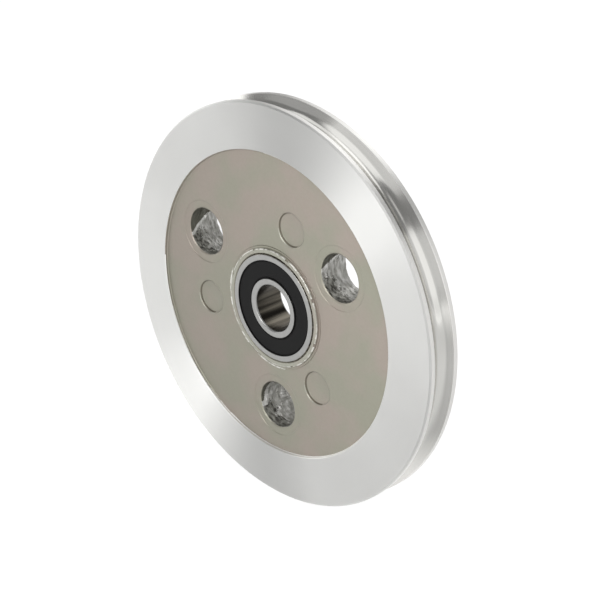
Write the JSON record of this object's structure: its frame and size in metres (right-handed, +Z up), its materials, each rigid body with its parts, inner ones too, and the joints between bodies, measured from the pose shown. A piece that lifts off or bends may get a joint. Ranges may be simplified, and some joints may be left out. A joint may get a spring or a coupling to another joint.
{
  "type": "v groove wheel",
  "caption": "Cast aluminium wheel with a shallow V groove round its turned rim, a web with round holes and a pressed-in sealed ball bearing.",
  "frame": {"origin": "on the axle's axis, halfway across the rim", "axes": "+Y along the axle from the front of the wheel to its rear, +Z up; the face with the ejector marks faces -Y"},
  "size_m": [0.13, 0.012, 0.13],
  "materials": {
    "cast_aluminium": "rim turned bright, web as cast",
    "bearing_steel": "ground",
    "ball_steel": "polished",
    "cage_steel": "pressed sheet",
    "seal_rubber": "moulded black, matte",
    "insert_steel": "sheet"
  },
  "bodies": {
    "axle_side": {"inner_race": "bearing_steel"},
    "wheel_side": {"wheel": "cast_aluminium", "outer_race": "bearing_steel", "front_seal": "seal_rubber", "rear_seal": "seal_rubber", "front_seal_insert": "insert_steel", "rear_seal_insert": "insert_steel"},
    "cage": {"cage_front": "cage_steel", "cage_rear": "cage_steel", "cage_rivets": "cage_steel"},
    "ball_1": {"ball_1": "ball_steel"},
    "ball_2": {"ball_2": "ball_steel"},
    "ball_3": {"ball_3": "ball_steel"},
    "ball_4": {"ball_4": "ball_steel"},
    "ball_5": {"ball_5": "ball_steel"},
    "ball_6": {"ball_6": "ball_steel"},
    "ball_7": {"ball_7": "ball_steel"},
    "ball_8": {"ball_8": "ball_steel"}
  },
  "joints": [
    {"name": "wheel_spin", "type": "hinge", "parent": "axle_side", "child": "wheel_side", "pos_m": [0, 0, 0], "axis": [0, 1, 0], "continuous": true},
    {"name": "cage_orbit", "type": "hinge", "parent": "axle_side", "child": "cage", "pos_m": [0, -0.0005, 0], "axis": [0, 1, 0], "continuous": true},
    {"name": "ball_1_spin", "type": "hinge", "parent": "cage", "child": "ball_1", "pos_m": [0.0125, -0.0005, 0], "axis": [0, 1, 0], "continuous": true},
    {"name": "ball_2_spin", "type": "hinge", "parent": "cage", "child": "ball_2", "pos_m": [0.00884, -0.0005, 0.00884], "axis": [0, 1, 0], "continuous": true},
    {"name": "ball_3_spin", "type": "hinge", "parent": "cage", "child": "ball_3", "pos_m": [0, -0.0005, 0.0125], "axis": [0, 1, 0], "continuous": true},
    {"name": "ball_4_spin", "type": "hinge", "parent": "cage", "child": "ball_4", "pos_m": [-0.00884, -0.0005, 0.00884], "axis": [0, 1, 0], "continuous": true},
    {"name": "ball_5_spin", "type": "hinge", "parent": "cage", "child": "ball_5", "pos_m": [-0.0125, -0.0005, 0], "axis": [0, 1, 0], "continuous": true},
    {"name": "ball_6_spin", "type": "hinge", "parent": "cage", "child": "ball_6", "pos_m": [-0.00884, -0.0005, -0.00884], "axis": [0, 1, 0], "continuous": true},
    {"name": "ball_7_spin", "type": "hinge", "parent": "cage", "child": "ball_7", "pos_m": [0, -0.0005, -0.0125], "axis": [0, 1, 0], "continuous": true},
    {"name": "ball_8_spin", "type": "hinge", "parent": "cage", "child": "ball_8", "pos_m": [0.00884, -0.0005, -0.00884], "axis": [0, 1, 0], "continuous": true}
  ],
  "couplings": [
    {"joint": "cage_orbit", "follows": "wheel_spin", "ratio": 0.619},
    {"joint": "ball_1_spin", "follows": "wheel_spin", "ratio": 1.9818},
    {"joint": "ball_2_spin", "follows": "wheel_spin", "ratio": 1.9818},
    {"joint": "ball_3_spin", "follows": "wheel_spin", "ratio": 1.9818},
    {"joint": "ball_4_spin", "follows": "wheel_spin", "ratio": 1.9818},
    {"joint": "ball_5_spin", "follows": "wheel_spin", "ratio": 1.9818},
    {"joint": "ball_6_spin", "follows": "wheel_spin", "ratio": 1.9818},
    {"joint": "ball_7_spin", "follows": "wheel_spin", "ratio": 1.9818},
    {"joint": "ball_8_spin", "follows": "wheel_spin", "ratio": 1.9818}
  ]
}
